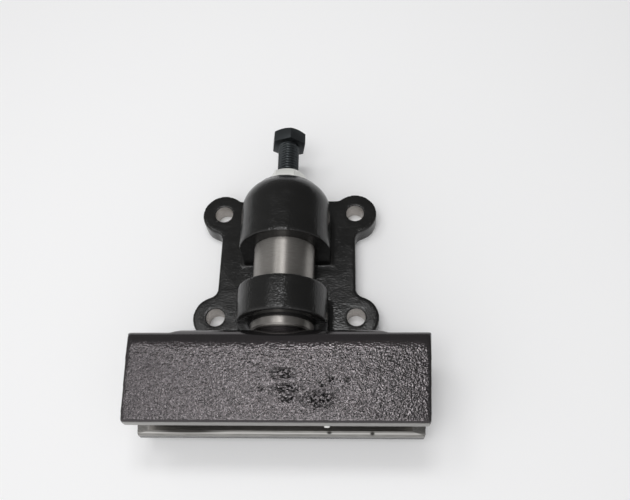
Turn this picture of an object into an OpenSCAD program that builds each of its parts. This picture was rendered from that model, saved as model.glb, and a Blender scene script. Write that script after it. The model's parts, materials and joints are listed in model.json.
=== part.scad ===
// Spring-loaded swivel guide shoe for a lift car or counterweight.
// A cast base bolts flat to the frame. Its barrel and collar carry a round plunger,
// and a cast channel on the plunger's nose straddles the blade of the guide rail.
// Origin: middle of the four mounting holes, on the underside of the plate.
// +Z is up, the shoe points along -Y and the adjusting bolt along +Y.

/* [Mounting plate] */
// Spacing of the mounting holes across the plate
hole_dx = 101.6; // [92:0.1:124]
// Spacing of the mounting holes along the plunger
hole_dy = 85.7; // [76:0.1:98]
// Diameter of a mounting hole
hole_d = 13.5; // [10:0.1:17]
// Edge break round each mounting hole
hole_chamfer = 0.6; // [0.2:0.1:1.5]
// Thickness of the plate
plate_t = 15.5; // [12:0.5:22]
// Width of the plate between its ears
plate_w = 101.6; // [90:0.1:110]
// Length of the plate between its ears
plate_l = 108.2; // [98:0.1:115]
// Radius of the ear round each mounting hole
ear_r = 16.5; // [13:0.1:19]
// Radius of the hollow between an ear and the plate's edge
ear_fillet_r = 7; // [4:0.1:9]

/* [Barrel and collar] */
// Place of the barrel's open face, measured from the middle of the holes
barrel_front_y = -1; // [-6:0.5:6]
// Length of the barrel from its open face to the end of its dome
barrel_l = 53.1; // [48:0.1:66]
// Wall of the barrel round the plunger
barrel_wall = 10.9; // [8:0.1:13]
// Corner radius of the domed end
dome_r = 22; // [12:0.5:24]
// Thickness of the domed end that the adjusting bolt is threaded through
end_wall = 14.5; // [12:0.5:18]
// Open length between barrel and collar
window_l = 31.8; // [24:0.1:42]
// Length of the front collar
collar_l = 25.1; // [20:0.1:32]
// Wall of the collar round the plunger
collar_wall = 9.8; // [8:0.1:13]
// How far the feet of barrel and collar stand in from the round above them
foot_inset = 0.6; // [0.3:0.1:2]
// Leg of the sloped root where a foot meets the plate
root_leg = 2; // [0.5:0.1:2.4]
// Edge break at the mouth of each bore
bore_chamfer = 0.5; // [0.3:0.1:2]

/* [Plunger] */
// Diameter of the ground plunger
plunger_d = 43.5; // [36:0.1:50]
// Radial clearance of the plunger in its bores
plunger_clear = 0.03; // [0.01:0.01:0.1]
// Clearance between the plunger and the top of the plate
floor_gap = 0.5; // [0.4:0.1:4]
// Length of plunger that stands out in front of the collar at rest
stub_l = 6.8; // [5:0.1:15]
// Length of plunger inside the barrel at rest
tail_l = 13; // [10:0.5:14]
// Edge break at both ends of the plunger
plunger_chamfer = 1; // [0.5:0.1:2]
// Diameter of the spigot that enters the shoe
spigot_d = 26; // [20:0.5:30]
// How far the spigot stops short of the channel's floor
spigot_short = 0.5; // [0.2:0.1:2]
// Diameter of the pocket that holds the spring
pocket_d = 29; // [28.4:0.1:32]
// Depth of the pocket that holds the spring
pocket_depth = 33; // [28:0.5:40]

/* [Shoe] */
// Thickness of the rail blade that runs in the shoe
rail_t = 15.9; // [9:0.1:19.1]
// Total clearance between the rail blade and the liner
rail_clear = 0.5; // [0.2:0.1:1.5]
// Thickness of each flange of the channel
flange_t = 11.6; // [9:0.1:15]
// Depth of the channel from front to back
shoe_depth = 59.6; // [50:0.1:70]
// Length of the channel at its back
shoe_l = 196.4; // [175:0.1:220]
// How much shorter the channel is at each end of its front
shoe_draft = 3.5; // [0.5:0.1:5]
// Thickness of the channel's web
web_t = 13.5; // [11.5:0.5:17]
// Radius of the long back edges
back_edge_r = 7; // [3:0.5:9]
// Radius of the long front edges
front_edge_r = 2; // [1:0.2:3]
// Radius of the edges at the two ends
end_edge_r = 3; // [2:0.5:7]
// Depth of the lead-in along the front of the channel
mouth_l = 3; // [1:0.1:6]
// How much each flange is thinned by the lead-in along its front
mouth_h = 2.4; // [0.5:0.1:4]
// Length of the lead-in at the ends of the channel
lead_l = 12; // [5:0.5:20]
// How much each flange is thinned by the lead-in at its ends
lead_h = 2.8; // [0.5:0.1:4]
// Length of the thicker middle of the back
pad_l = 126; // [100:1:150]
// How far the middle of the back stands out
pad_proud = 3.1; // [1:0.1:5]
// Length of the ramp at each end of the thicker middle
pad_ramp = 6.6; // [3:0.1:12]
// Radius of the long edges of the thicker middle
pad_edge_r = 12; // [6:0.5:13]
// Diameter of the hub that the plunger's shoulder seats on
hub_d = 38; // [34:0.5:42]
// Length of the hub behind the shoe
hub_l = 1.6; // [1:0.1:8]
// Diameter of the pin that locks the spigot in the shoe
pin_d = 8; // [5:0.5:10]
// How far the pin is driven in from the underside
pin_recess = 1; // [0.5:0.1:3]
// How far the pin reaches past the spigot
pin_reach = 4; // [2:0.5:6]

/* [Liner] */
// Wall of the liner
liner_t = 4.2; // [3.8:0.1:7]
// Length of the liner along the rail
liner_l = 179.5; // [150:0.5:186]
// How far the liner's edges lie behind the front of the channel
liner_setback = 7; // [2:0.5:14]
// Length of the flare at each end of the liner
flare_l = 12; // [5:0.5:20]
// Depth of the flare at each end of the liner
flare = 2; // [0.5:0.1:2.6]
// Fitting gap between liner and channel
liner_fit = 0.05; // [0.02:0.01:0.2]
// Spacing of the two liner screws
screw_dx = 112; // [80:1:130]
// Thread diameter of a liner screw
screw_d = 6.35; // [4:0.05:8]
// Head diameter of a liner screw
screw_head_d = 12.4; // [9:0.1:14]
// Height of a liner screw's sunk head
screw_head_h = 3.2; // [2.5:0.1:3.6]
// Length of a liner screw in the web
screw_grip = 9; // [6:0.5:10]
// Width across flats of a liner screw's socket
screw_socket = 4; // [2.5:0.1:5]

/* [Adjuster] */
// Diameter of the adjusting bolt
bolt_d = 15.9; // [12:0.1:18]
// Length of the adjusting bolt under its head
bolt_l = 57.2; // [54:0.1:60]
// Distance from the domed end to the underside of the bolt's head at rest
bolt_out = 37.2; // [35:0.1:40]
// Width across flats of bolt head and locknut
hex_af = 23.8; // [19:0.1:27]
// Height of the bolt's head
head_t = 9.9; // [7:0.1:13]
// Thickness of the locknut
nut_t = 10; // [8:0.1:14]
// Radial clearance of the bolt in its threaded holes
thread_clear = 0.04; // [0.02:0.01:0.1]
// Turn of the bolt's head, a corner above the horizontal
head_turn = 20; // [0:1:59]
// Turn of the locknut, a corner above the horizontal
nut_turn = 5; // [0:1:59]

/* [Spring] */
// Wire of the compression spring
wire_d = 3.2; // [2.5:0.1:4.2]
// Outside diameter of the spring
spring_od = 28; // [24:0.1:28.2]
// Turns of wire in the spring
spring_turns = 6.5; // [5:0.5:8]
// Thickness of the thrust washer at the bottom of the pocket
thrust_t = 4; // [2:0.5:8]
// Thickness of the follower that the bolt pushes
follower_t = 7; // [5:0.5:8]
// Diametral clearance of the follower in the barrel
follower_clear = 0.5; // [0.2:0.1:1.5]
// Diameter of the follower's pilot inside the spring
pilot_d = 17; // [12:0.5:17.5]
// Length of the follower's pilot
pilot_l = 5; // [3:0.5:6]
// Depth of the cup in the follower for the bolt's tip
cup_depth = 2.5; // [1:0.1:4]

/* [Hidden] */
$fn = 72;

// Small overrun that keeps cutting tools clear of the faces they cut
over = 1;
// Overlap that lets two round cuts cross cleanly where they would only touch
bite = 0.02;
// Small fit between pieces that are pressed together
press_gap = 0.03;

// Heights
bore_d = plunger_d + 2 * plunger_clear;
axis_z = plate_t + plunger_d / 2 + floor_gap;
barrel_r = bore_d / 2 + barrel_wall;
collar_r = bore_d / 2 + collar_wall;
rail_gap = rail_t + rail_clear;
channel_gap = rail_gap + 2 * liner_t + 2 * liner_fit;
shoe_h = channel_gap + 2 * flange_t;

// Places along the plunger, from the bolt's end to the rail
dome_end_y = barrel_front_y + barrel_l;
bore_end_y = dome_end_y - end_wall;
head_y = dome_end_y + bolt_out;
tip_y = head_y - bolt_l;
follower_back_y = tip_y + cup_depth;
follower_front_y = follower_back_y - follower_t;
tail_y = barrel_front_y + tail_l;
pocket_end_y = tail_y - pocket_depth;
spring_front_y = pocket_end_y + thrust_t;
collar_back_y = barrel_front_y - window_l;
collar_front_y = collar_back_y - collar_l;
shoulder_y = collar_front_y - stub_l;
pad_y = shoulder_y - hub_l;
shoe_back_y = pad_y - pad_proud;
shoe_front_y = shoe_back_y - shoe_depth;
channel_y = shoe_back_y - web_t;
spigot_end_y = channel_y + spigot_short;
pin_y = pad_y - (pad_proud + web_t) / 2;
liner_front_y = shoe_front_y + liner_setback;

paint = "#1d1e20";
ground_steel = "#b9b6b0";
dark_steel = "#2b2a2a";
zinc = "#d8d8d4";
polymer = "#3a3c3f";
spring_steel = "#5a5a5c";

// A round bar along +Y from y0 to y1, on the plunger's axis
module bar(d, y0, y1) {
    translate([0, y0, axis_z]) rotate([-90, 0, 0]) cylinder(d = d, h = y1 - y0);
}

// A cone along +Y from diameter d0 at y0 to d1 at y1
module taper(d0, d1, y0, y1) {
    translate([0, y0, axis_z]) rotate([-90, 0, 0]) cylinder(d1 = d0, d2 = d1, h = y1 - y0);
}

// A rectangle w wide and h high, centred, with corners of radius r
module round_rect(w, h, r) {
    square([w - 2 * r, h], center = true);
    square([w, h - 2 * r], center = true);
    for (x = [-1, 1], y = [-1, 1])
        translate([x * (w / 2 - r), y * (h / 2 - r)]) circle(r = r);
}

// Copies of a shape in all four quarters of the plate
module four_ways() {
    for (x = [0, 1], y = [0, 1])
        mirror([x, 0, 0]) mirror([0, y, 0]) children();
}

// Base casting

// Hollow corner between an ear and the plate's side, and between an ear and its end
function side_fillet() =
    let (x = plate_w / 2 + ear_fillet_r - bite, reach = ear_r + ear_fillet_r - bite)
    [x, hole_dy / 2 - sqrt(pow(reach, 2) - pow(x - hole_dx / 2, 2))];
function end_fillet() =
    let (y = plate_l / 2 + ear_fillet_r - bite, reach = ear_r + ear_fillet_r - bite)
    [hole_dx / 2 - sqrt(pow(reach, 2) - pow(y - hole_dy / 2, 2)), y];

module plate_outline() {
    ear = [hole_dx / 2, hole_dy / 2];
    side = side_fillet();
    end = end_fillet();
    difference() {
        union() {
            square([plate_w, plate_l], center = true);
            four_ways() {
                translate(ear) circle(r = ear_r);
                polygon([[plate_w / 2 - over, side.y], side, ear]);
                polygon([[end.x, plate_l / 2 - over], ear, end]);
            }
        }
        four_ways() {
            translate(side) circle(r = ear_fillet_r);
            translate(end) circle(r = ear_fillet_r);
        }
    }
}

// Half section of the barrel, from its axis outwards, with the domed corner
module dome_section(r, l, corner) {
    square([r, l - corner]);
    square([r - corner, l]);
    translate([r - corner, l - corner]) intersection() {
        circle(r = corner);
        square(corner);
    }
}

// Plan of the foot under the barrel, rounded like the dome above it
module barrel_foot() {
    dome_section(barrel_r - foot_inset, barrel_l - foot_inset, dome_r - foot_inset);
    mirror([1, 0]) dome_section(barrel_r - foot_inset, barrel_l - foot_inset, dome_r - foot_inset);
}

// Section of the sloped root against a wall at u = 0, drawn with the plate's top at v = 0
module root_section() {
    polygon([[-over, -over], [root_leg + over, -over], [-over, root_leg + over]]);
}

// Straight roots on both sides of a foot of half width w
module side_roots(w, y0, y1) {
    for (side = [0, 1])
        mirror([side, 0, 0]) translate([w, y1, plate_t]) rotate([90, 0, 0])
            linear_extrude(y1 - y0) root_section();
}

// Root round the domed end of the barrel's foot: two round corners and a straight end
module dome_root() {
    corner = dome_r - foot_inset - bite;
    x = barrel_r - dome_r;
    y = dome_end_y - dome_r;
    for (side = [-1, 1])
        translate([side * x, y, plate_t - over])
            cylinder(h = root_leg + 2 * over, r1 = corner + root_leg + over, r2 = corner - over);
    translate([-x, dome_end_y - foot_inset, plate_t]) rotate([90, 0, 90])
        linear_extrude(2 * x) root_section();
}

module mounting_hole() {
    translate([0, 0, -over]) cylinder(d = hole_d, h = plate_t + 2 * over);
    translate([0, 0, plate_t - hole_chamfer])
        cylinder(d1 = hole_d, d2 = hole_d + 2 * (hole_chamfer + over), h = hole_chamfer + over);
}

module bore(y0, y1) {
    bar(bore_d, y0, y1);
}

// Edge break at a bore's mouth: side is 1 where the mouth faces +Y
module mouth(y, side) {
    wide = bore_d + 2 * (bore_chamfer + over);
    if (side > 0) taper(bore_d, wide, y - bore_chamfer, y + over);
    else taper(wide, bore_d, y - over, y + bore_chamfer);
}

module base_casting() {
    color(paint) difference() {
        union() {
            linear_extrude(plate_t) plate_outline();
            translate([0, barrel_front_y, axis_z]) rotate([-90, 0, 0])
                rotate_extrude() dome_section(barrel_r, barrel_l, dome_r);
            translate([0, barrel_front_y, 0]) linear_extrude(axis_z) barrel_foot();
            side_roots(barrel_r - foot_inset, barrel_front_y, dome_end_y - dome_r);
            dome_root();
            bar(2 * collar_r, collar_front_y, collar_back_y);
            translate([-collar_r + foot_inset, collar_front_y, 0])
                cube([2 * (collar_r - foot_inset), collar_l, axis_z]);
            side_roots(collar_r - foot_inset, -plate_l / 2, collar_back_y);
        }
        bore(barrel_front_y - over, bore_end_y);
        mouth(barrel_front_y, -1);
        bore(collar_front_y - over, collar_back_y + over);
        mouth(collar_front_y, -1);
        mouth(collar_back_y, 1);
        bar(bolt_d + 2 * thread_clear, bore_end_y - over, dome_end_y + over);
        four_ways() translate([hole_dx / 2, hole_dy / 2, 0]) mounting_hole();
    }
}

// Plunger

module pin_hole(d, z0, z1) {
    translate([0, pin_y, z0]) cylinder(d = d, h = z1 - z0);
}

module plunger() {
    c = plunger_chamfer;
    color(ground_steel) difference() {
        union() {
            bar(plunger_d, shoulder_y + c, tail_y - c);
            taper(plunger_d - 2 * c, plunger_d, shoulder_y, shoulder_y + c);
            taper(plunger_d, plunger_d - 2 * c, tail_y - c, tail_y);
            bar(spigot_d, spigot_end_y, shoulder_y + c);
        }
        bar(pocket_d, pocket_end_y, tail_y + over);
        pin_hole(pin_d, axis_z - spigot_d, axis_z + spigot_d);
    }
}

// Shoe

// Half plan of a slot along X that is flared at both ends, drawn from its middle line towards +Y
module flared_plan(l, half, flared_l, flared) {
    straight = l / 2 - flared_l;
    polygon([[-l / 2 - over, 0], [l / 2 + over, 0], [l / 2 + over, half + flared],
             [l / 2, half + flared], [straight, half], [-straight, half],
             [-l / 2, half + flared], [-l / 2 - over, half + flared]]);
}

// Flared slot from its open side at y0 back to its floor at y1
module flared_slot(l, half, flared_l, flared, y0, y1) {
    for (side = [0, 1])
        translate([0, y1, axis_z]) rotate([90, 0, 0]) mirror([0, side, 0])
            linear_extrude(y1 - y0) flared_plan(l, half, flared_l, flared);
}

// Section of the shoe's outside across the rail, with the lead-in, drawn in Y and Z from its front edge
module channel_section() {
    mid = shoe_depth / 2;
    half = channel_gap / 2;
    wide = half + mouth_h * (1 + over / mouth_l);
    difference() {
        union() {
            translate([mid / 2, 0]) round_rect(mid, shoe_h, front_edge_r);
            translate([mid, 0]) square([mid, shoe_h], center = true);
            translate([1.5 * mid, 0]) round_rect(mid, shoe_h, back_edge_r);
        }
        polygon([[-over, -wide], [mouth_l, -half], [mouth_l, half], [-over, wide]]);
    }
}

// Section of the thicker middle, drawn in Y and Z from inside the web to its back
module pad_section() {
    deep = web_t + pad_proud;
    intersection() {
        translate([deep - 2 * pad_edge_r, 0]) round_rect(4 * pad_edge_r, shoe_h, pad_edge_r);
        translate([0, -shoe_h / 2]) square([deep, shoe_h]);
    }
}

// Stands a section drawn in Y and Z along X, centred, with its start at y0
module along_x(l, y0) {
    translate([-l / 2, y0, axis_z]) rotate([90, 0, 90]) linear_extrude(l) children();
}

module channel_body() {
    intersection() {
        along_x(shoe_l, shoe_front_y) channel_section();
        translate([0, 0, axis_z - shoe_h]) linear_extrude(2 * shoe_h)
            polygon([[-shoe_l / 2, shoe_back_y], [shoe_l / 2, shoe_back_y],
                     [shoe_l / 2 - shoe_draft, shoe_front_y], [-shoe_l / 2 + shoe_draft, shoe_front_y]]);
        translate([0, shoe_back_y + over, axis_z]) rotate([90, 0, 0])
            linear_extrude(shoe_depth + 2 * over) round_rect(shoe_l, shoe_h, end_edge_r);
    }
}

module back_pad() {
    intersection() {
        along_x(pad_l + 2 * pad_ramp, channel_y) pad_section();
        translate([0, 0, axis_z - shoe_h]) linear_extrude(2 * shoe_h)
            polygon([[-pad_l / 2, pad_y], [pad_l / 2, pad_y], [pad_l / 2 + pad_ramp, shoe_back_y],
                     [pad_l / 2 + pad_ramp, channel_y], [-pad_l / 2 - pad_ramp, channel_y],
                     [-pad_l / 2 - pad_ramp, shoe_back_y]]);
    }
}

module at_screws() {
    for (x = [-1, 1]) translate([x * screw_dx / 2, 0, 0]) children();
}

module shoe_casting() {
    color(paint) difference() {
        union() {
            channel_body();
            back_pad();
            bar(hub_d, pad_y - over, shoulder_y);
        }
        flared_slot(shoe_l, channel_gap / 2, lead_l, lead_h, shoe_front_y - over, channel_y);
        bar(spigot_d + 2 * press_gap, channel_y - over, shoulder_y + over);
        pin_hole(pin_d, axis_z - shoe_h, axis_z + spigot_d / 2 + pin_reach);
        at_screws() bar(screw_d, channel_y - over, channel_y + screw_grip + over);
    }
}

module shoe_pin() {
    low_z = axis_z - shoe_h / 2 + pin_recess;
    color(ground_steel) pin_hole(pin_d - 2 * press_gap, low_z, axis_z + spigot_d / 2 + pin_reach);
}

// Liner

module liner() {
    outer_h = channel_gap - 2 * liner_fit;
    back_y = channel_y - liner_fit;
    color(polymer) difference() {
        translate([-liner_l / 2, liner_front_y, axis_z - outer_h / 2])
            cube([liner_l, back_y - liner_front_y, outer_h]);
        flared_slot(liner_l, rail_gap / 2, flare_l, flare, liner_front_y - over, back_y - liner_t);
        at_screws() {
            bar(screw_d + 2 * liner_fit, back_y - liner_t - over, back_y + over);
            sunk_head(liner_fit, over);
        }
    }
}

// Sunk head of a screw, seated flush with the inner face of the liner
module sunk_head(gap, extra) {
    face_y = channel_y - liner_fit - liner_t;
    taper(screw_head_d + 2 * gap, screw_d + 2 * gap, face_y, face_y + screw_head_h);
    if (extra > 0) bar(screw_head_d + 2 * gap, face_y - extra, face_y);
}

module liner_screws() {
    face_y = channel_y - liner_fit - liner_t;
    color(zinc) at_screws() difference() {
        union() {
            sunk_head(0, 0);
            bar(screw_d - 2 * press_gap, face_y + screw_head_h - over, channel_y + screw_grip);
        }
        translate([0, face_y - over, axis_z]) rotate([-90, 0, 0])
            cylinder(d = screw_socket / cos(30), h = over + screw_head_h * 0.6, $fn = 6);
    }
}

// Spring and its seats

spring_l = follower_front_y - spring_front_y;
coil_r = (spring_od - wire_d) / 2;
wire_sides = 8;
steps_per_turn = 16;
spring_steps = spring_turns * steps_per_turn;
// Share of a turn at each end that is closed against its neighbour
closed_turns = 1;

// Height of the wire's centre after a number of turns, closed at both ends
function wire_rise(turn) =
    let (open_turns = spring_turns - 2 * closed_turns,
         closed_rise = closed_turns * wire_d,
         open_rise = spring_l - wire_d - 2 * closed_rise)
    turn < closed_turns ? turn * wire_d
    : turn < closed_turns + open_turns ? closed_rise + (turn - closed_turns) / open_turns * open_rise
    : spring_l - wire_d - (spring_turns - turn) * wire_d;

function wire_ring(i) =
    let (turn = i / steps_per_turn, a = 360 * turn, rise = wire_d / 2 + wire_rise(turn))
    [for (k = [0:wire_sides - 1])
        let (b = 360 * k / wire_sides, r = coil_r + wire_d / 2 * cos(b))
        [r * cos(a), r * sin(a), rise + wire_d / 2 * sin(b)]];

module spring() {
    rings = spring_steps;
    points = [for (i = [0:rings]) each wire_ring(i)];
    walls = [for (i = [0:rings - 1], k = [0:wire_sides - 1])
        let (n = (k + 1) % wire_sides, low = i * wire_sides, high = low + wire_sides)
        [low + k, low + n, high + n, high + k]];
    first = [for (k = [wire_sides - 1:-1:0]) k];
    last = [for (k = [0:wire_sides - 1]) rings * wire_sides + k];
    color(spring_steel) translate([0, spring_front_y, axis_z]) rotate([-90, 0, 0])
        polyhedron(points, concat([first], walls, [last]));
}

module thrust_washer() {
    color(dark_steel) difference() {
        bar(pocket_d - follower_clear, pocket_end_y, spring_front_y);
        bar(pilot_d - wire_d, pocket_end_y - over, spring_front_y + over);
    }
}

module follower() {
    color(dark_steel) difference() {
        union() {
            bar(bore_d - follower_clear, follower_front_y, follower_back_y);
            bar(pilot_d, follower_front_y - pilot_l, follower_front_y + over);
        }
        bar(bolt_d + 2 * thread_clear, tip_y, follower_back_y + over);
    }
}

// Adjuster

// Hexagonal prism along +Y with one or both ends chamfered to a round face
module hexagon(y0, h, turn, both_ends) {
    ac = hex_af / cos(30);
    wide = ac / 2 + over;
    slope = tan(30) * (wide - hex_af / 2);
    near = both_ends ? [[hex_af / 2, 0], [wide, slope]] : [[wide, 0]];
    intersection() {
        translate([0, y0, axis_z]) rotate([-90, -turn, 0]) cylinder(d = ac, h = h, $fn = 6);
        translate([0, y0, axis_z]) rotate([-90, 0, 0]) rotate_extrude()
            polygon(concat([[0, 0]], near, [[wide, h - slope], [hex_af / 2, h], [0, h]]));
    }
}

module adjusting_bolt() {
    tip_chamfer = bolt_d / 10;
    color(dark_steel) {
        hexagon(head_y, head_t, head_turn, false);
        bar(bolt_d, tip_y + tip_chamfer, head_y + over);
        taper(bolt_d - 2 * tip_chamfer, bolt_d, tip_y, tip_y + tip_chamfer);
    }
}

module locknut() {
    color(zinc) difference() {
        hexagon(dome_end_y, nut_t, nut_turn, true);
        bar(bolt_d + 2 * thread_clear, dome_end_y - over, dome_end_y + nut_t + over);
    }
}

base_casting();
plunger();
shoe_casting();
shoe_pin();
liner();
liner_screws();
spring();
thrust_washer();
follower();
adjusting_bolt();
locknut();
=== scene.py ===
"""Looks for the sprung swivel guide shoe: soft-edged castings, threads, materials, light and camera."""

import json
import math

import bmesh
import bpy
from mathutils import Matrix, Vector
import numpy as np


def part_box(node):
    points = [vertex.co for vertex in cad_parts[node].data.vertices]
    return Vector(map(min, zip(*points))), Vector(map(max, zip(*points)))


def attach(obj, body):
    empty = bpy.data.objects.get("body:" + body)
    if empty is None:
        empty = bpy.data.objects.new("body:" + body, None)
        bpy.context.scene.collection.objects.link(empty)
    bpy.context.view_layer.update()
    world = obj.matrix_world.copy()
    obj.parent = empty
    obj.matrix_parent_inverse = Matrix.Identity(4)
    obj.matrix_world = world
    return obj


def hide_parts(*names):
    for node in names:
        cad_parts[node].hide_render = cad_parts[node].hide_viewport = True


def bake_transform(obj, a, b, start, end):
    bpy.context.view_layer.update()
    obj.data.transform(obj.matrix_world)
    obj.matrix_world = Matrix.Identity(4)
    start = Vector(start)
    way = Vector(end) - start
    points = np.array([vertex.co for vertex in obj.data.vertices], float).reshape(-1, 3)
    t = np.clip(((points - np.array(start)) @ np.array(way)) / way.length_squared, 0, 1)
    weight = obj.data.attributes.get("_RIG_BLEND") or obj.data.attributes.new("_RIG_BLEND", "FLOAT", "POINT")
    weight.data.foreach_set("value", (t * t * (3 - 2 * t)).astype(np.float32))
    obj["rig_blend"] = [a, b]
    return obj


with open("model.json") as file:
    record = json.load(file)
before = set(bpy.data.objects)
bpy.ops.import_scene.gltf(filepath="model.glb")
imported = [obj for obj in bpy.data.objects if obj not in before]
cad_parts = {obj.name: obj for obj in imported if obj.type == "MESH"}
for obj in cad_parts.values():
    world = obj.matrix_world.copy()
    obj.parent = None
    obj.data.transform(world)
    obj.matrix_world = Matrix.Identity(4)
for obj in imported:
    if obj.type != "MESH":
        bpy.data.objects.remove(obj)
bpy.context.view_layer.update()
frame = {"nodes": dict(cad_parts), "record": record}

MM = 0.001
# A clearance too small to see, also used to find the faces that a cut has made
HAIR = 0.05 * MM
# The gap between the plunger and its bores
BORE_GAP = 0.03 * MM
# How far drilled and milled cuts reach outside a piece, and how far plugs stay inside it
DRILL_ROOM = 2 * MM
MILL_ROOM = 5 * MM
HOLE_INSET = 0.4 * MM
BORE_INSET = 0.3 * MM
# Angles in degrees from which an edge is drawn sharp
CAST_ANGLE = 38
MACHINED_ANGLE = 40
WIRE_ANGLE = 60

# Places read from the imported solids, in metres

plunger_low, plunger_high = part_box("plunger")
base_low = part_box("base_casting")[0]
shoe_low, shoe_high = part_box("shoe_casting")
liner_low, liner_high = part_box("liner")
bolt_low, bolt_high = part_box("adjusting_bolt")
nut_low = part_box("locknut")[0]
pin_low, pin_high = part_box("shoe_pin")
spring_low, spring_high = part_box("spring")

AXIS_Z = (plunger_low[2] + plunger_high[2]) / 2
BORE_R = (plunger_high[0] - plunger_low[0]) / 2 + BORE_GAP
HOLES = next(m["dims"] for m in frame["record"]["mounts"] if m["name"] == "mounting_holes")
HOLE_X = HOLES["spacing_x_mm"] * MM / 2
HOLE_Y = HOLES["spacing_y_mm"] * MM / 2
HOLE_R = HOLES["hole_r_mm"] * MM

BARREL_END = nut_low[1]
COLLAR_FRONT = base_low[1]
CHANNEL_HALF = (liner_high[2] - liner_low[2]) / 2 + HAIR
CHANNEL_BACK = liner_high[1] + HAIR
SHOE_END = shoe_high[0]
SHOE_FRONT = shoe_low[1]
PIN_Y = (pin_low[1] + pin_high[1]) / 2
SPRING_MID = (spring_low[1] + spring_high[1]) / 2

# Sizes of the solids that no box gives

PLATE_TOP = 15.5 * MM
BARREL_FRONT = -1 * MM
BORE_END = 37.6 * MM
COLLAR_BACK = -32.8 * MM
BORE_CHAMFER = 0.5 * MM
HOLE_CHAMFER = 0.6 * MM
MOUTH_L = 3 * MM
MOUTH_H = 2.4 * MM
LEAD_L = 12 * MM
LEAD_H = 2.8 * MM
SPIGOT_R = 13.03 * MM
PIN_R = 4 * MM
SCREW_X = 56 * MM
BOLT_R = 7.95 * MM
HEAD_Y = bolt_high[1] - 9.9 * MM


# Mesh helpers


def add_object(name, mesh):
    """A mesh in a new object of the scene."""
    obj = bpy.data.objects.new(name, mesh)
    bpy.context.scene.collection.objects.link(obj)
    return obj


def copy_of(piece, name):
    """A merged copy of a CAD node's mesh in a new object."""
    mesh = frame["nodes"][piece].data.copy()
    mesh.name = name
    for attribute in [a for a in mesh.attributes if a.name == "custom_normal"]:
        mesh.attributes.remove(attribute)
    mesh.materials.clear()
    merged = bmesh.new()
    merged.from_mesh(mesh)
    bmesh.ops.remove_doubles(merged, verts=merged.verts, dist=1e-6)
    merged.to_mesh(mesh)
    merged.free()
    return add_object(name, mesh)


def lathe(profile, centre, along="Y", sides=96):
    """The points and faces of a solid turned from (radius, height) points about a line through centre."""
    verts = []
    faces = []
    count = len(profile)
    for k in range(sides):
        turn = 2 * math.pi * k / sides
        for radius, height in profile:
            a = radius * math.cos(turn)
            b = radius * math.sin(turn)
            local = (a, height, b) if along == "Y" else (b, a, height)
            verts.append([centre[i] + local[i] for i in range(3)])
    for k in range(sides):
        here = k * count
        there = (k + 1) % sides * count
        for i in range(count - 1):
            faces.append((here + i, there + i, there + i + 1, here + i + 1))
    faces.append([k * count for k in range(sides)][::-1])
    faces.append([k * count + count - 1 for k in range(sides)])
    return verts, faces


def block(low, high):
    """The points and faces of a box between two corners."""
    verts = [(x, y, z) for x in (low[0], high[0]) for y in (low[1], high[1]) for z in (low[2], high[2])]
    faces = [(0, 1, 3, 2), (4, 6, 7, 5), (0, 4, 5, 1), (2, 3, 7, 6), (0, 2, 6, 4), (1, 5, 7, 3)]
    return verts, faces


def prism(outline, along, low, high):
    """The points and faces of a solid from low to high along X or Y; outline is in the other two axes."""
    count = len(outline)
    verts = []
    for level in (low, high):
        for a, b in outline:
            verts.append((level, a, b) if along == "X" else (a, level, b))
    faces = [list(range(count)), list(range(count, 2 * count))[::-1]]
    for i in range(count):
        n = (i + 1) % count
        faces.append((i, n, count + n, count + i))
    return verts, faces


def solids(name, pieces):
    """One object out of several closed solids."""
    verts = []
    faces = []
    for piece_verts, piece_faces in pieces:
        start = len(verts)
        verts += piece_verts
        faces += [[start + i for i in face] for face in piece_faces]
    mesh = bpy.data.meshes.new(name)
    mesh.from_pydata(verts, [], faces)
    fixed = bmesh.new()
    fixed.from_mesh(mesh)
    bmesh.ops.recalc_face_normals(fixed, faces=fixed.faces)
    fixed.to_mesh(mesh)
    fixed.free()
    return add_object(name, mesh)


def settle(obj):
    """Turns an object's modifiers into mesh."""
    graph = bpy.context.evaluated_depsgraph_get()
    mesh = bpy.data.meshes.new_from_object(obj.evaluated_get(graph))
    obj.modifiers.clear()
    obj.data = mesh


def combine(obj, other, operation):
    """Boolean of obj with other, which is used up."""
    step = obj.modifiers.new(operation.lower(), "BOOLEAN")
    step.operation = operation
    step.solver = "EXACT"
    step.object = other
    settle(obj)
    bpy.data.objects.remove(other)


def clear_slivers(obj):
    """Removes the needle-thin and doubled faces that cuts can leave."""
    thin = 0.01 * MM
    cleaned = bmesh.new()
    cleaned.from_mesh(obj.data)
    bmesh.ops.remove_doubles(cleaned, verts=cleaned.verts, dist=thin)
    bmesh.ops.dissolve_degenerate(cleaned, edges=cleaned.edges, dist=thin)
    bmesh.ops.triangulate(cleaned, faces=[face for face in cleaned.faces if len(face.verts) > 4])
    same = {}
    for face in cleaned.faces:
        same.setdefault(frozenset(face.verts), []).append(face)
    doubled = [face for faces in same.values() if len(faces) > 1 for face in faces]
    bmesh.ops.delete(cleaned, geom=doubled, context="FACES")
    cleaned.to_mesh(obj.data)
    cleaned.free()


def merge(obj, other):
    """Adds the other's shells to obj without cutting anything."""
    joined = bmesh.new()
    joined.from_mesh(obj.data)
    joined.from_mesh(other.data)
    joined.to_mesh(obj.data)
    joined.free()
    bpy.data.objects.remove(other)


def cast_skin(obj):
    """Rounds every edge of a solid the way a sand mould does."""
    skin = obj.modifiers.new("skin", "REMESH")
    skin.mode = "VOXEL"
    skin.voxel_size = 1.0 * MM
    soft = obj.modifiers.new("soft", "SMOOTH")
    soft.factor = 0.5
    soft.iterations = 5
    settle(obj)


def smooth_faces(obj, angle):
    """Smooth shading that keeps edges sharper than angle in degrees."""
    for face in obj.data.polygons:
        face.use_smooth = True
    obj.data.set_sharp_from_angle(angle=math.radians(angle))


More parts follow.
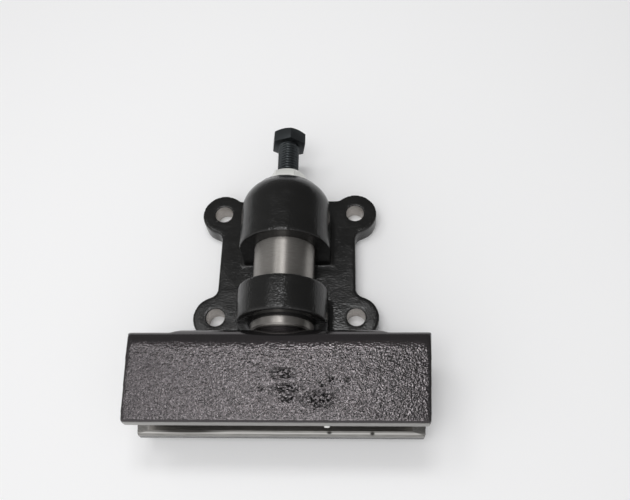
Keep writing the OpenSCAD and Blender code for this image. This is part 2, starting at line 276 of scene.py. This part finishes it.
def bevel(obj, width):
    """Rounds the edges of a machined piece."""
    step = obj.modifiers.new("bevel", "BEVEL")
    step.width = width
    step.segments = 3
    step.limit_method = "ANGLE"
    step.angle_limit = math.radians(30)
    settle(obj)


# Shader helpers


def shader(name):
    """A new material with its node tree and surface shader."""
    material = bpy.data.materials.new(name)
    material.use_nodes = True
    tree = material.node_tree
    return material, tree, tree.nodes["Principled BSDF"]


def node(tree, kind, **values):
    """A node with its settings and the values of its sockets; a socket is linked where it is given one."""
    made = tree.nodes.new(kind)
    for key, value in values.items():
        if hasattr(made, key):
            setattr(made, key, value)
            continue
        socket = made.inputs[key.replace("_", " ")]
        if isinstance(value, bpy.types.NodeSocket):
            tree.links.new(value, socket)
        else:
            socket.default_value = value
    return made


def millimetres(tree):
    """Object coordinates in millimetres."""
    place = node(tree, "ShaderNodeTexCoord")
    scale = node(tree, "ShaderNodeVectorMath", operation="SCALE")
    scale.inputs["Scale"].default_value = 1000
    tree.links.new(place.outputs["Object"], scale.inputs[0])
    return scale.outputs[0]


def noise(tree, where, scale, detail=2.0, roughness=0.5):
    """Noise between 0 and 1; scale is in waves per unit of where."""
    made = node(tree, "ShaderNodeTexNoise", Vector=where, Scale=scale, Detail=detail, Roughness=roughness)
    return made.outputs["Fac"]


def spread(tree, value, low, high, to_low, to_high):
    """Maps a value from one range to another, held at both ends."""
    return node(
        tree, "ShaderNodeMapRange", Value=value, From_Min=low, From_Max=high, To_Min=to_low, To_Max=to_high
    ).outputs[0]


def colours(tree, factor, first, second):
    """A mix of two colours."""
    mix = node(tree, "ShaderNodeMix", data_type="RGBA")
    tree.links.new(factor, mix.inputs[0])
    for socket, value in ((mix.inputs[6], first), (mix.inputs[7], second)):
        if isinstance(value, bpy.types.NodeSocket):
            tree.links.new(value, socket)
        else:
            socket.default_value = (*value, 1)
    return mix.outputs[2]


def bump(tree, height, distance, strength=None, under=None):
    """Surface relief, in metres, over an earlier one if there is one; strength may be a socket."""
    relief = node(tree, "ShaderNodeBump", Height=height, Distance=distance)
    if strength is not None:
        tree.links.new(strength, relief.inputs["Strength"])
    if under is not None:
        tree.links.new(under, relief.inputs["Normal"])
    return relief.outputs[0]


def calculate(tree, operation, first, second):
    """Two values combined, such as by MULTIPLY or MAXIMUM."""
    step = node(tree, "ShaderNodeMath", operation=operation)
    tree.links.new(first, step.inputs[0])
    tree.links.new(second, step.inputs[1])
    return step.outputs[0]


def product(tree, first, second):
    """Two values multiplied."""
    return calculate(tree, "MULTIPLY", first, second)


def vectors(tree, operation, first, second):
    """A vector combined with a fixed one."""
    step = node(tree, "ShaderNodeVectorMath", operation=operation)
    tree.links.new(first, step.inputs[0])
    step.inputs[1].default_value = second
    return step.outputs[0]


def near(tree, where, places):
    """1 inside any of several ellipses in X and Y, fading to 0; each is x, y and two radii in mm."""
    inside = None
    for x, y, wide, deep in places:
        away = vectors(tree, "SUBTRACT", where, (x, y, 0))
        shares = vectors(tree, "MULTIPLY", away, (1 / wide, 1 / deep, 0))
        distance = node(tree, "ShaderNodeVectorMath", operation="LENGTH")
        tree.links.new(shares, distance.inputs[0])
        here = spread(tree, distance.outputs["Value"], 0.5, 1.2, 1.0, 0.0)
        inside = here if inside is None else calculate(tree, "MAXIMUM", inside, here)
    return inside


# Materials


def painted_casting(name, paint, worn_and_highlight, grains, shine, gloss):
    """Black paint on cast iron; grains are (scale per mm, relief in mm) pairs, from coarse to fine."""
    material, tree, surface = shader(name)
    where = millimetres(tree)
    edges = node(tree, "ShaderNodeNewGeometry").outputs["Pointiness"]
    # Convex edges turn paler: partly edge wear, partly a painted highlight along the rims.
    tint = colours(tree, spread(tree, edges, 0.53, 0.6, 0.0, 0.6), paint, worn_and_highlight)
    tree.links.new(tint, surface.inputs["Base Color"])
    rougher = spread(tree, edges, 0.51, 0.56, 0.55, 1.0)
    normal = None
    for scale, relief in grains:
        normal = bump(tree, noise(tree, where, scale, 0.6, 0.5), relief * MM, rougher, normal)
    tree.links.new(normal, surface.inputs["Normal"])
    patches = noise(tree, where, 0.1, 2.0)
    tree.links.new(spread(tree, patches, 0.3, 0.7, shine - 0.05, shine + 0.07), surface.inputs["Roughness"])
    surface.inputs["Specular IOR Level"].default_value = gloss
    return material


def grainy_casting(name, paint, speck_and_glint, grains, shine, back, pits):
    """Glossy black paint over a coarse sand-cast skin with pale grains and pits, smooth on its rounded edges.
    The pale grains are partly painted glints.

    back is the place along Y, in mm, where the grain has faded out. pits are the pitted places, as for near.
    """
    material, tree, surface = shader(name)
    where = millimetres(tree)
    place = node(tree, "ShaderNodeSeparateXYZ", Vector=where)
    facing = node(tree, "ShaderNodeSeparateXYZ", Vector=node(tree, "ShaderNodeTexCoord").outputs["Normal"])
    upright = node(tree, "ShaderNodeMath", operation="ABSOLUTE")
    tree.links.new(facing.outputs["Z"], upright.inputs[0])
    flat = spread(tree, upright.outputs[0], 0.9, 0.985, 0.12, 1.0)
    rough = product(tree, flat, spread(tree, place.outputs["Y"], back - 10, back, 1.0, 0.12))
    holes = spread(tree, noise(tree, where, 0.55, 2.0, 0.6), 0.5, 0.56, 0.0, 1.0)
    upper = spread(tree, facing.outputs["Z"], 0.9, 0.985, 0.0, 1.0)
    pitted = product(tree, product(tree, holes, near(tree, where, pits)), upper)
    # Pale specks on the flat top, fading towards the back edge: partly grain, partly painted glints.
    pale = spread(tree, noise(tree, where, 0.8, 4.0, 0.65), 0.46, 0.72, 0.0, 1.0)
    skin = colours(tree, product(tree, pale, rough), paint, speck_and_glint)
    # The pits are painted near black: painted shade in the dents.
    tree.links.new(colours(tree, pitted, skin, (0.004, 0.004, 0.004)), surface.inputs["Base Color"])
    fall = spread(tree, place.outputs["Y"], back - 9, back, 0.0, 1.0)
    normal = bump(tree, spread(tree, product(tree, fall, fall), 0.0, 1.0, 1.0, 0.0), 0.5 * MM)
    for scale, relief in grains:
        normal = bump(tree, noise(tree, where, scale, 0.6, 0.5), relief * MM, rough, normal)
    normal = bump(tree, spread(tree, pitted, 0.0, 1.0, 1.0, 0.0), 0.5 * MM, None, normal)
    tree.links.new(normal, surface.inputs["Normal"])
    tree.links.new(spread(tree, pitted, 0.0, 1.0, 0.75, 0.02), surface.inputs["Specular IOR Level"])
    surface.inputs["Specular Tint"].default_value = (1.0, 0.92, 0.95, 1)
    surface.inputs["Roughness"].default_value = shine
    return material


def bare_steel(name, dark, light, roughness, streaks, drawn_out=0.0, painted_highlight_line=None, shade_and_stains=None):
    """Machined steel; streaks are the scales of its tool marks along X, Y and Z.

    drawn_out spreads the shine along Y. The bright line along X is a painted highlight, given as its Y and
    half its width, in mm.
    The dark patches are painted shade and a stain, given as for near.
    """
    material, tree, surface = shader(name)
    where = millimetres(tree)
    marks = noise(tree, vectors(tree, "MULTIPLY", where, streaks), 1.0, 3.0, 0.6)
    tint = colours(tree, spread(tree, marks, 0.35, 0.65, 0.0, 1.0), dark, light)
    if painted_highlight_line is not None:
        # Painted highlight: a bright line along the lead-in's edge.
        y, half = painted_highlight_line
        place = node(tree, "ShaderNodeSeparateXYZ", Vector=where)
        fading_in = spread(tree, place.outputs["Y"], y - 1.5 * half, y - 0.5 * half, 0.0, 1.0)
        fading_out = spread(tree, place.outputs["Y"], y + 0.5 * half, y + 1.5 * half, 1.0, 0.0)
        tint = colours(tree, product(tree, fading_in, fading_out), tint, (0.55, 0.54, 0.52))
    # Dark patches on the lip: painted shade, and one stain.
    if shade_and_stains is not None:
        tint = colours(tree, near(tree, where, shade_and_stains), tint, (0.05, 0.048, 0.045))
    tree.links.new(tint, surface.inputs["Base Color"])
    tree.links.new(bump(tree, marks, 0.004 * MM), surface.inputs["Normal"])
    surface.inputs["Roughness"].default_value = roughness
    surface.inputs["Metallic"].default_value = 1.0
    if drawn_out > 0:
        surface.inputs["Anisotropic"].default_value = drawn_out
        surface.inputs["Anisotropic Rotation"].default_value = 0.25
        around = node(tree, "ShaderNodeTangent", direction_type="RADIAL", axis="Y")
        tree.links.new(around.outputs[0], surface.inputs["Tangent"])
    return material


def plain_metal(name, tint, roughness, metallic=1.0):
    """Plated or oxidised steel with a slight unevenness; less metallic is duller and paler."""
    material, tree, surface = shader(name)
    where = millimetres(tree)
    uneven = noise(tree, where, 1.5, 3.0, 0.6)
    rougher = spread(tree, uneven, 0.3, 0.7, roughness - 0.08, roughness + 0.1)
    tree.links.new(rougher, surface.inputs["Roughness"])
    tree.links.new(bump(tree, uneven, 0.03 * MM), surface.inputs["Normal"])
    surface.inputs["Base Color"].default_value = (*tint, 1)
    surface.inputs["Metallic"].default_value = metallic
    return material


def matt_surface(name, tint):
    """A plain matt surface, such as moulded plastic or thick paint."""
    material, tree, surface = shader(name)
    where = millimetres(tree)
    fine = noise(tree, where, 2.5, 2.0)
    tree.links.new(bump(tree, fine, 0.015 * MM), surface.inputs["Normal"])
    surface.inputs["Base Color"].default_value = (*tint, 1)
    surface.inputs["Roughness"].default_value = 0.5
    return material


# Pitted places on top of the shoe, and dark patches on its lower lip, painted shade and a stain: x, y and two
# radii, in mm
PITS = [
    (4.4, -98.3, 8, 4),
    (7.3, -107.8, 10, 3.2),
    (8.1, -113.7, 6, 3),
    (27.7, -114.6, 12, 6),
    (34.3, -102.3, 2, 2),
    (29.1, -105.2, 2, 2),
    (-9.4, -107.8, 2, 2),
    (44.8, -102.7, 2.5, 2),
]
SHADE_AND_STAINS = [
    # painted shade where the upper flange's left end shades the lip
    (-61, -126.4, 24, 1.1),
    # painted shadow of the white blob at the upper edge
    (32.4, -126.8, 1.8, 1.0),
    # a small dark stain
    (60.3, -127.2, 1.6, 1.2),
]

base_paint = painted_casting(
    "base_paint",
    paint=(0.0088, 0.0087, 0.0084),
    worn_and_highlight=(0.07, 0.068, 0.066),
    grains=[(0.12, 0.4), (0.85, 0.27)],
    shine=0.2,
    gloss=0.34,
)
shoe_paint = grainy_casting(
    "shoe_paint",
    paint=(0.011, 0.0102, 0.0106),
    speck_and_glint=(0.04, 0.037, 0.0385),
    grains=[(0.3, 0.25), (0.95, 0.3)],
    shine=0.14,
    back=-75,
    pits=PITS,
)
bore_steel = bare_steel(
    "bore_steel",
    dark=(0.4, 0.375, 0.355),
    light=(0.6, 0.57, 0.54),
    roughness=0.38,
    streaks=(0.3, 0.3, 3.0),
)
ground_steel = bare_steel(
    "ground_steel",
    dark=(0.28, 0.267, 0.252),
    light=(0.36, 0.344, 0.325),
    roughness=0.44,
    streaks=(0.25, 4.0, 0.25),
    drawn_out=0.9,
)
# A darker copy of the milled iron for inside the channel: painted shade.
shaded_channel_iron = bare_steel(
    "shaded_channel_iron",
    dark=(0.16, 0.15, 0.14),
    light=(0.24, 0.228, 0.212),
    roughness=0.3,
    streaks=(0.12, 2.0, 2.0),
)
milled_iron = bare_steel(
    "milled_iron",
    dark=(0.22, 0.214, 0.204),
    light=(0.32, 0.312, 0.3),
    roughness=0.3,
    streaks=(0.12, 2.0, 2.0),
    painted_highlight_line=(-127.3, 0.35),
    shade_and_stains=SHADE_AND_STAINS,
)
black_oxide = plain_metal("black_oxide", (0.075, 0.082, 0.086), 0.36)
bright_zinc = plain_metal("bright_zinc", (0.8, 0.805, 0.77), 0.42, metallic=0.6)
dark_steel = plain_metal("dark_steel", (0.14, 0.14, 0.145), 0.38)
nylon = matt_surface("nylon", (0.03, 0.031, 0.034))
white_matt = matt_surface("white_matt", (0.8, 0.8, 0.78))


# Base casting


def at_holes(profile):
    """One solid of that profile at each of the four mounting holes."""
    return [lathe(profile, (x, y, 0), "Z") for x in (-HOLE_X, HOLE_X) for y in (-HOLE_Y, HOLE_Y)]


def make_base():
    """The base with cast edges, then bored and drilled with sharp ones."""
    body = copy_of("base_casting", "base_casting_cast")
    axis = (0, 0, AXIS_Z)
    plug_r = BORE_R + 2 * MM
    fills = at_holes([(HOLE_R + MM, HOLE_INSET), (HOLE_R + MM, PLATE_TOP - HOLE_INSET)])
    fills.append(lathe([(plug_r, BARREL_FRONT + BORE_INSET), (plug_r, BARREL_END - 3 * MM)], axis))
    fills.append(lathe([(plug_r, COLLAR_FRONT + BORE_INSET), (plug_r, COLLAR_BACK - BORE_INSET)], axis))
    fills.append(lathe([(BOLT_R + MM, BORE_END - MM), (BOLT_R + MM, BARREL_END - BORE_INSET)], axis))
    merge(body, solids("fills", fills))
    cast_skin(body)
    hole = [
        (HOLE_R, -DRILL_ROOM),
        (HOLE_R, PLATE_TOP - HOLE_CHAMFER),
        (HOLE_R + HOLE_CHAMFER + DRILL_ROOM, PLATE_TOP + DRILL_ROOM),
    ]
    open_r = BORE_R + BORE_CHAMFER + DRILL_ROOM
    barrel_bore = [
        (open_r, BARREL_FRONT - DRILL_ROOM),
        (BORE_R, BARREL_FRONT + BORE_CHAMFER),
        (BORE_R, BORE_END),
        (BOLT_R + HAIR, BORE_END),
        (BOLT_R + HAIR, BARREL_END + DRILL_ROOM),
    ]
    collar_bore = [
        (open_r, COLLAR_FRONT - DRILL_ROOM),
        (BORE_R, COLLAR_FRONT + BORE_CHAMFER),
        (BORE_R, COLLAR_BACK - BORE_CHAMFER),
        (open_r, COLLAR_BACK + DRILL_ROOM),
    ]
    cuts = at_holes(hole) + [lathe(barrel_bore, axis), lathe(collar_bore, axis)]
    combine(body, solids("cuts", cuts), "DIFFERENCE")
    clear_slivers(body)
    smooth_faces(body, CAST_ANGLE)
    return body


def paint_base(body):
    """Paint outside, bare steel in the bores and holes."""
    body.data.materials.clear()
    body.data.materials.append(base_paint)
    body.data.materials.append(bore_steel)
    for face in body.data.polygons:
        x, y, z = face.center
        in_hole = math.hypot(abs(x) - HOLE_X, abs(y) - HOLE_Y) < HOLE_R + HAIR
        in_bore = math.hypot(x, z - AXIS_Z) < BORE_R + HAIR and y < BORE_END + HAIR
        face.material_index = 1 if in_hole or in_bore else 0


base = make_base()
paint_base(base)
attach(base, "base")
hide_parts("base_casting")


# Shoe

# The finishes in the order of the material slots
PAINT, MILLED, CHANNEL, FOOT, DROP = range(5)
SHOE_FINISHES = (shoe_paint, milled_iron, shaded_channel_iron, base_paint, white_matt)
FOOT_H = 6.8 * MM
FRONT_SKIN = 0.25 * MM
DROP_PLACE = Vector((31.7, -128.9, 50.8)) * MM
DROP_SIZE = Vector((1.9, 0.6, 1.6)) * MM
DROP_RINGS = 12
SCREW_PLUG_R = 4.2 * MM
SCREW_PLUG_L = 10.5 * MM


def slot_outline():
    """The channel's gap in X and Z, flared at both ends."""
    straight = SHOE_END - LEAD_L
    wide = CHANNEL_HALF + LEAD_H
    past = SHOE_END + MILL_ROOM
    upper = [(past, wide), (SHOE_END, wide), (straight, CHANNEL_HALF)]
    upper += [(-x, z) for x, z in reversed(upper)]
    lower = [(x, -z) for x, z in reversed(upper)]
    return [(x, AXIS_Z + z) for x, z in upper + lower]


def mouth_outline():
    """The lead-in along the channel's front in Y and Z."""
    wide = CHANNEL_HALF + MOUTH_H * (1 + MILL_ROOM / MOUTH_L)
    upper = [(SHOE_FRONT - MILL_ROOM, wide), (SHOE_FRONT + MOUTH_L, CHANNEL_HALF)]
    lower = [(y, -z) for y, z in reversed(upper)]
    return [(y, AXIS_Z + z) for y, z in upper + lower]


def make_shoe():
    """The shoe with cast edges and a milled channel; its screw holes stay filled behind the screws."""
    body = copy_of("shoe_casting", "shoe_casting_cast")
    axis = (0, 0, AXIS_Z)
    pin = (0, PIN_Y, 0)
    plug_end = SHOE_END - 5 * MM
    plug_half = CHANNEL_HALF + LEAD_H + MM
    plug_low = (-plug_end, SHOE_FRONT + HOLE_INSET, AXIS_Z - plug_half)
    plug_high = (plug_end, CHANNEL_BACK + MM, AXIS_Z + plug_half)
    spigot_r = SPIGOT_R + MM
    pin_r = PIN_R + MM
    fills = [
        block(plug_low, plug_high),
        lathe([(spigot_r, CHANNEL_BACK - MM), (spigot_r, shoe_high[1] - HOLE_INSET)], axis),
        lathe([(pin_r, shoe_low[2] + HOLE_INSET), (pin_r, AXIS_Z + SPIGOT_R + 5 * MM)], pin, "Z"),
    ]
    screw = [(SCREW_PLUG_R, CHANNEL_BACK - MM), (SCREW_PLUG_R, CHANNEL_BACK + SCREW_PLUG_L)]
    fills += [lathe(screw, (x, 0, AXIS_Z)) for x in (-SCREW_X, SCREW_X)]
    merge(body, solids("fills", fills))
    cast_skin(body)
    cuts = [
        prism(slot_outline(), "Y", SHOE_FRONT - MILL_ROOM, CHANNEL_BACK),
        prism(mouth_outline(), "X", -SHOE_END - MILL_ROOM, SHOE_END + MILL_ROOM),
        lathe([(SPIGOT_R, CHANNEL_BACK - DRILL_ROOM), (SPIGOT_R, shoe_high[1] + DRILL_ROOM)], axis),
        lathe([(PIN_R, shoe_low[2] - DRILL_ROOM), (PIN_R, AXIS_Z - SPIGOT_R + MM)], pin, "Z", 48),
    ]
    for cut in cuts:
        combine(body, solids("cut", [cut]), "DIFFERENCE")
    clear_slivers(body)
    smooth_faces(body, CAST_ANGLE)
    return body


def paint_shoe(body):
    """Paint outside, bare iron on the front edges and the lead-ins, and a darker copy of the iron inside the
    channel as painted shade.

    The foot of the lower front edge takes the darker base paint as painted shade along the bottom edge.
    """
    body.data.materials.clear()
    for material in SHOE_FINISHES:
        body.data.materials.append(material)
    foot = shoe_low[2] + FOOT_H
    for face in body.data.polygons:
        x, y, z = face.center
        level = abs(z - AXIS_Z)
        inwards = face.normal.z * (z - AXIS_Z) < 0
        if y < SHOE_FRONT + FRONT_SKIN and face.normal.y < -0.9:
            # Below the foot height the darker base paint paints shade along the bottom edge.
            face.material_index = MILLED if z > foot else FOOT
        elif inwards and y < SHOE_FRONT + MOUTH_L and face.normal.y < -0.3:
            face.material_index = MILLED
        # Inside the channel the darker iron paints shade; the flared ends take the lighter milled iron, a
        # painted reflection.
        elif inwards and level < CHANNEL_HALF + LEAD_H and abs(face.normal.z) > 0.7:
            face.material_index = MILLED if abs(x) > SHOE_END - LEAD_L else CHANNEL
        elif abs(y - CHANNEL_BACK) < HAIR:
            face.material_index = CHANNEL
        else:
            face.material_index = PAINT


def add_drop(body):
    """A small white blob that hangs at the upper front edge."""
    turns = [math.pi * i / DROP_RINGS for i in range(1, DROP_RINGS)]
    rings = [(math.sin(turn), -math.cos(turn)) for turn in turns]
    verts, faces = lathe(rings, (0, 0, 0), "Z", 2 * DROP_RINGS)
    verts = [[DROP_PLACE[i] + DROP_SIZE[i] * vert[i] for i in range(3)] for vert in verts]
    drop = solids("drop", [(verts, faces)])
    for face in drop.data.polygons:
        face.material_index = DROP
        face.use_smooth = True
    merge(body, drop)


shoe = make_shoe()
paint_shoe(shoe)
add_drop(shoe)
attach(shoe, "shoe")
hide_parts("shoe_casting")


# Adjusting bolt and locknut

PITCH = 25.4 / 11 * MM
THREAD_DEPTH = 1.25 * MM
ROOT_SHARE = 0.12
FLANK_SHARE = 0.7
END_CHAMFER = 1.6 * MM
HEAD_EDGE = 0.45 * MM
NUT_EDGE = 0.3 * MM
SHANK_KEPT = 0.2 * MM
ROD_OVERLAP = 0.5 * MM


def thread_radius(phase):
    """Radius of the thread at a share of its pitch: flat crest, sloped flanks, flat root."""
    away = abs(phase - math.floor(phase) - 0.5) * 2
    rise = min(max((away - ROOT_SHARE) / FLANK_SHARE, 0.0), 1.0)
    return BOLT_R - THREAD_DEPTH * (1 - rise)


def threaded_rod(start, end, sides=56, per_pitch=12):
    """A right-hand screw thread along +Y as one skin, with both ends closed."""
    rows = round((end - start) / PITCH * per_pitch)
    verts = []
    faces = []
    for i in range(rows + 1):
        y = start + (end - start) * i / rows
        lead_in = BOLT_R - END_CHAMFER + (y - start)
        for k in range(sides):
            turn = 2 * math.pi * k / sides
            radius = min(thread_radius(y / PITCH + k / sides), lead_in)
            verts.append((radius * math.cos(turn), y, AXIS_Z + radius * math.sin(turn)))
    for i in range(rows):
        for k in range(sides):
            n = (k + 1) % sides
            faces.append((i * sides + k, i * sides + n, (i + 1) * sides + n, (i + 1) * sides + k))
    faces.append(list(range(sides)))
    faces.append([rows * sides + k for k in range(sides)][::-1])
    return verts, faces


def make_bolt():
    """The solid's head, with rounded edges, on a threaded rod."""
    head = copy_of("adjusting_bolt", "adjusting_bolt_threaded")
    room = 30 * MM
    low = (-room, HEAD_Y - SHANK_KEPT, AXIS_Z - room)
    high = (room, HEAD_Y + room, AXIS_Z + room)
    combine(head, solids("keep", [block(low, high)]), "INTERSECT")
    bevel(head, HEAD_EDGE)
    merge(head, solids("rod", [threaded_rod(bolt_low[1], HEAD_Y + ROD_OVERLAP)]))
    head.data.materials.clear()
    head.data.materials.append(black_oxide)
    smooth_faces(head, MACHINED_ANGLE)
    return head


bolt = make_bolt()
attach(bolt, "adjuster")
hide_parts("adjusting_bolt")

nut = copy_of("locknut", "locknut_soft")
bevel(nut, NUT_EDGE)
nut.data.materials.clear()
nut.data.materials.append(bright_zinc)
smooth_faces(nut, MACHINED_ANGLE)
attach(nut, "nut")
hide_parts("locknut")


# Spring in two halves: the front shortens as the plunger slides in, the back as the bolt is screwed in


def half_spring(name, front):
    """The spring's front or back half, cut across its wire and closed there."""
    half = copy_of("spring", name)
    cut = bmesh.new()
    cut.from_mesh(half.data)
    bmesh.ops.bisect_plane(
        cut,
        geom=cut.verts[:] + cut.edges[:] + cut.faces[:],
        dist=1e-7,
        plane_co=(0, SPRING_MID, 0),
        plane_no=(0, 1, 0),
        clear_outer=front,
        clear_inner=not front,
    )
    bmesh.ops.holes_fill(cut, edges=[edge for edge in cut.edges if edge.is_boundary], sides=0)
    cut.to_mesh(half.data)
    cut.free()
    half.data.materials.append(dark_steel)
    smooth_faces(half, WIRE_ANGLE)
    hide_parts("spring")
    return half


spring_ends = [(0, y, AXIS_Z) for y in (spring_low[1], SPRING_MID, spring_high[1])]
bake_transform(half_spring("spring_front", True), "thrust", "base", spring_ends[0], spring_ends[1])
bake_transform(half_spring("spring_back", False), "base", "follower", spring_ends[1], spring_ends[2])


# Pieces that keep their CAD shape


def finish_node(name, material):
    """Gives a CAD node its material."""
    mesh = frame["nodes"][name].data
    mesh.materials.clear()
    mesh.materials.append(material)


finish_node("plunger", ground_steel)
finish_node("shoe_pin", ground_steel)
finish_node("liner", nylon)
finish_node("liner_screws", bright_zinc)
finish_node("thrust_washer", dark_steel)
finish_node("follower", dark_steel)


# Floor, light and camera

FLOOR_TONE = (0.93, 0.93, 0.935)
FRAME_WIDTH = 630


def add_floor():
    """A wide white floor just below the plate."""
    half = 4.0
    low = base_low[2] - 0.1 * MM
    corners = [(-half, -half, low), (half, -half, low), (half, half, low), (-half, half, low)]
    mesh = bpy.data.meshes.new("floor")
    mesh.from_pydata(corners, [], [(0, 1, 2, 3)])
    material, _, surface = shader("floor_white")
    surface.inputs["Base Color"].default_value = (*FLOOR_TONE, 1)
    surface.inputs["Roughness"].default_value = 0.7
    surface.inputs["Specular IOR Level"].default_value = 0.2
    mesh.materials.append(material)
    floor = add_object("floor", mesh)


def add_world(left, right, ahead, behind):
    """A room, brighter on its left and darker behind, drawn white where the camera looks past the floor."""
    world = bpy.data.worlds.new("room")
    bpy.context.scene.world = world
    world.use_nodes = True
    tree = world.node_tree
    tree.nodes.clear()
    way = node(tree, "ShaderNodeTexCoord")
    parts = node(tree, "ShaderNodeSeparateXYZ", Vector=way.outputs["Generated"])
    across = spread(tree, parts.outputs["X"], -0.9, 0.9, left, right)
    depth = spread(tree, parts.outputs["Y"], -0.6, 0.4, ahead, behind)
    room = node(tree, "ShaderNodeBackground", Color=(1, 1, 1, 1), Strength=product(tree, across, depth))
    white = node(tree, "ShaderNodeBackground", Color=(*FLOOR_TONE, 1), Strength=1.0)
    path = node(tree, "ShaderNodeLightPath")
    choice = node(tree, "ShaderNodeMixShader")
    tree.links.new(path.outputs["Is Camera Ray"], choice.inputs[0])
    tree.links.new(room.outputs[0], choice.inputs[1])
    tree.links.new(white.outputs[0], choice.inputs[2])
    out = node(tree, "ShaderNodeOutputWorld")
    tree.links.new(choice.outputs[0], out.inputs[0])


def add_softbox(name, place, width, height, watts):
    """A white lamp with a rectangular face, turned to the origin."""
    data = bpy.data.lights.new(name, "AREA")
    data.shape = "RECTANGLE"
    data.size = width
    data.size_y = height
    data.energy = watts
    lamp = bpy.data.objects.new(name, data)
    bpy.context.scene.collection.objects.link(lamp)
    lamp.location = place
    lamp.rotation_euler = (-Vector(place)).to_track_quat("-Z", "Y").to_euler()


def add_camera():
    """The photograph's camera: place in metres, angles in degrees, focal length in pixels of the frame."""
    place = Vector((0.046369, -0.225072, 0.478206))
    down, aside, roll = (math.radians(a) for a in (62.82, -6.271, -6.012))
    focal = 691.1
    ahead = Vector((math.cos(down) * math.sin(aside), math.cos(down) * math.cos(aside), -math.sin(down)))
    level = Vector((math.cos(aside), -math.sin(aside), 0))
    above = level.cross(ahead)
    right = math.cos(roll) * level + math.sin(roll) * above
    up = -math.sin(roll) * level + math.cos(roll) * above
    data = bpy.data.cameras.new("photo_camera")
    data.sensor_fit = "HORIZONTAL"
    data.sensor_width = 36
    data.lens = focal / FRAME_WIDTH * data.sensor_width
    data.clip_start = 0.01
    camera = bpy.data.objects.new("photo_camera", data)
    bpy.context.scene.collection.objects.link(camera)
    camera.matrix_world = Matrix(
        [[right[i], up[i], -ahead[i], place[i]] for i in range(3)] + [[0, 0, 0, 1]]
    )
    bpy.context.scene.camera = camera


add_floor()
add_world(left=1.08, right=0.37, ahead=1.25, behind=0.31)
add_softbox("key", (-0.02, 0.19, 1.1), width=0.3, height=0.16, watts=2.0)
add_softbox("side", (-0.45, 0.19, 1.1), width=0.36, height=0.24, watts=1.2)
add_softbox("fill", (-0.12, -0.4, 1.2), width=0.6, height=0.4, watts=3.7)
add_camera()
bpy.context.scene.view_settings.view_transform = "Standard"
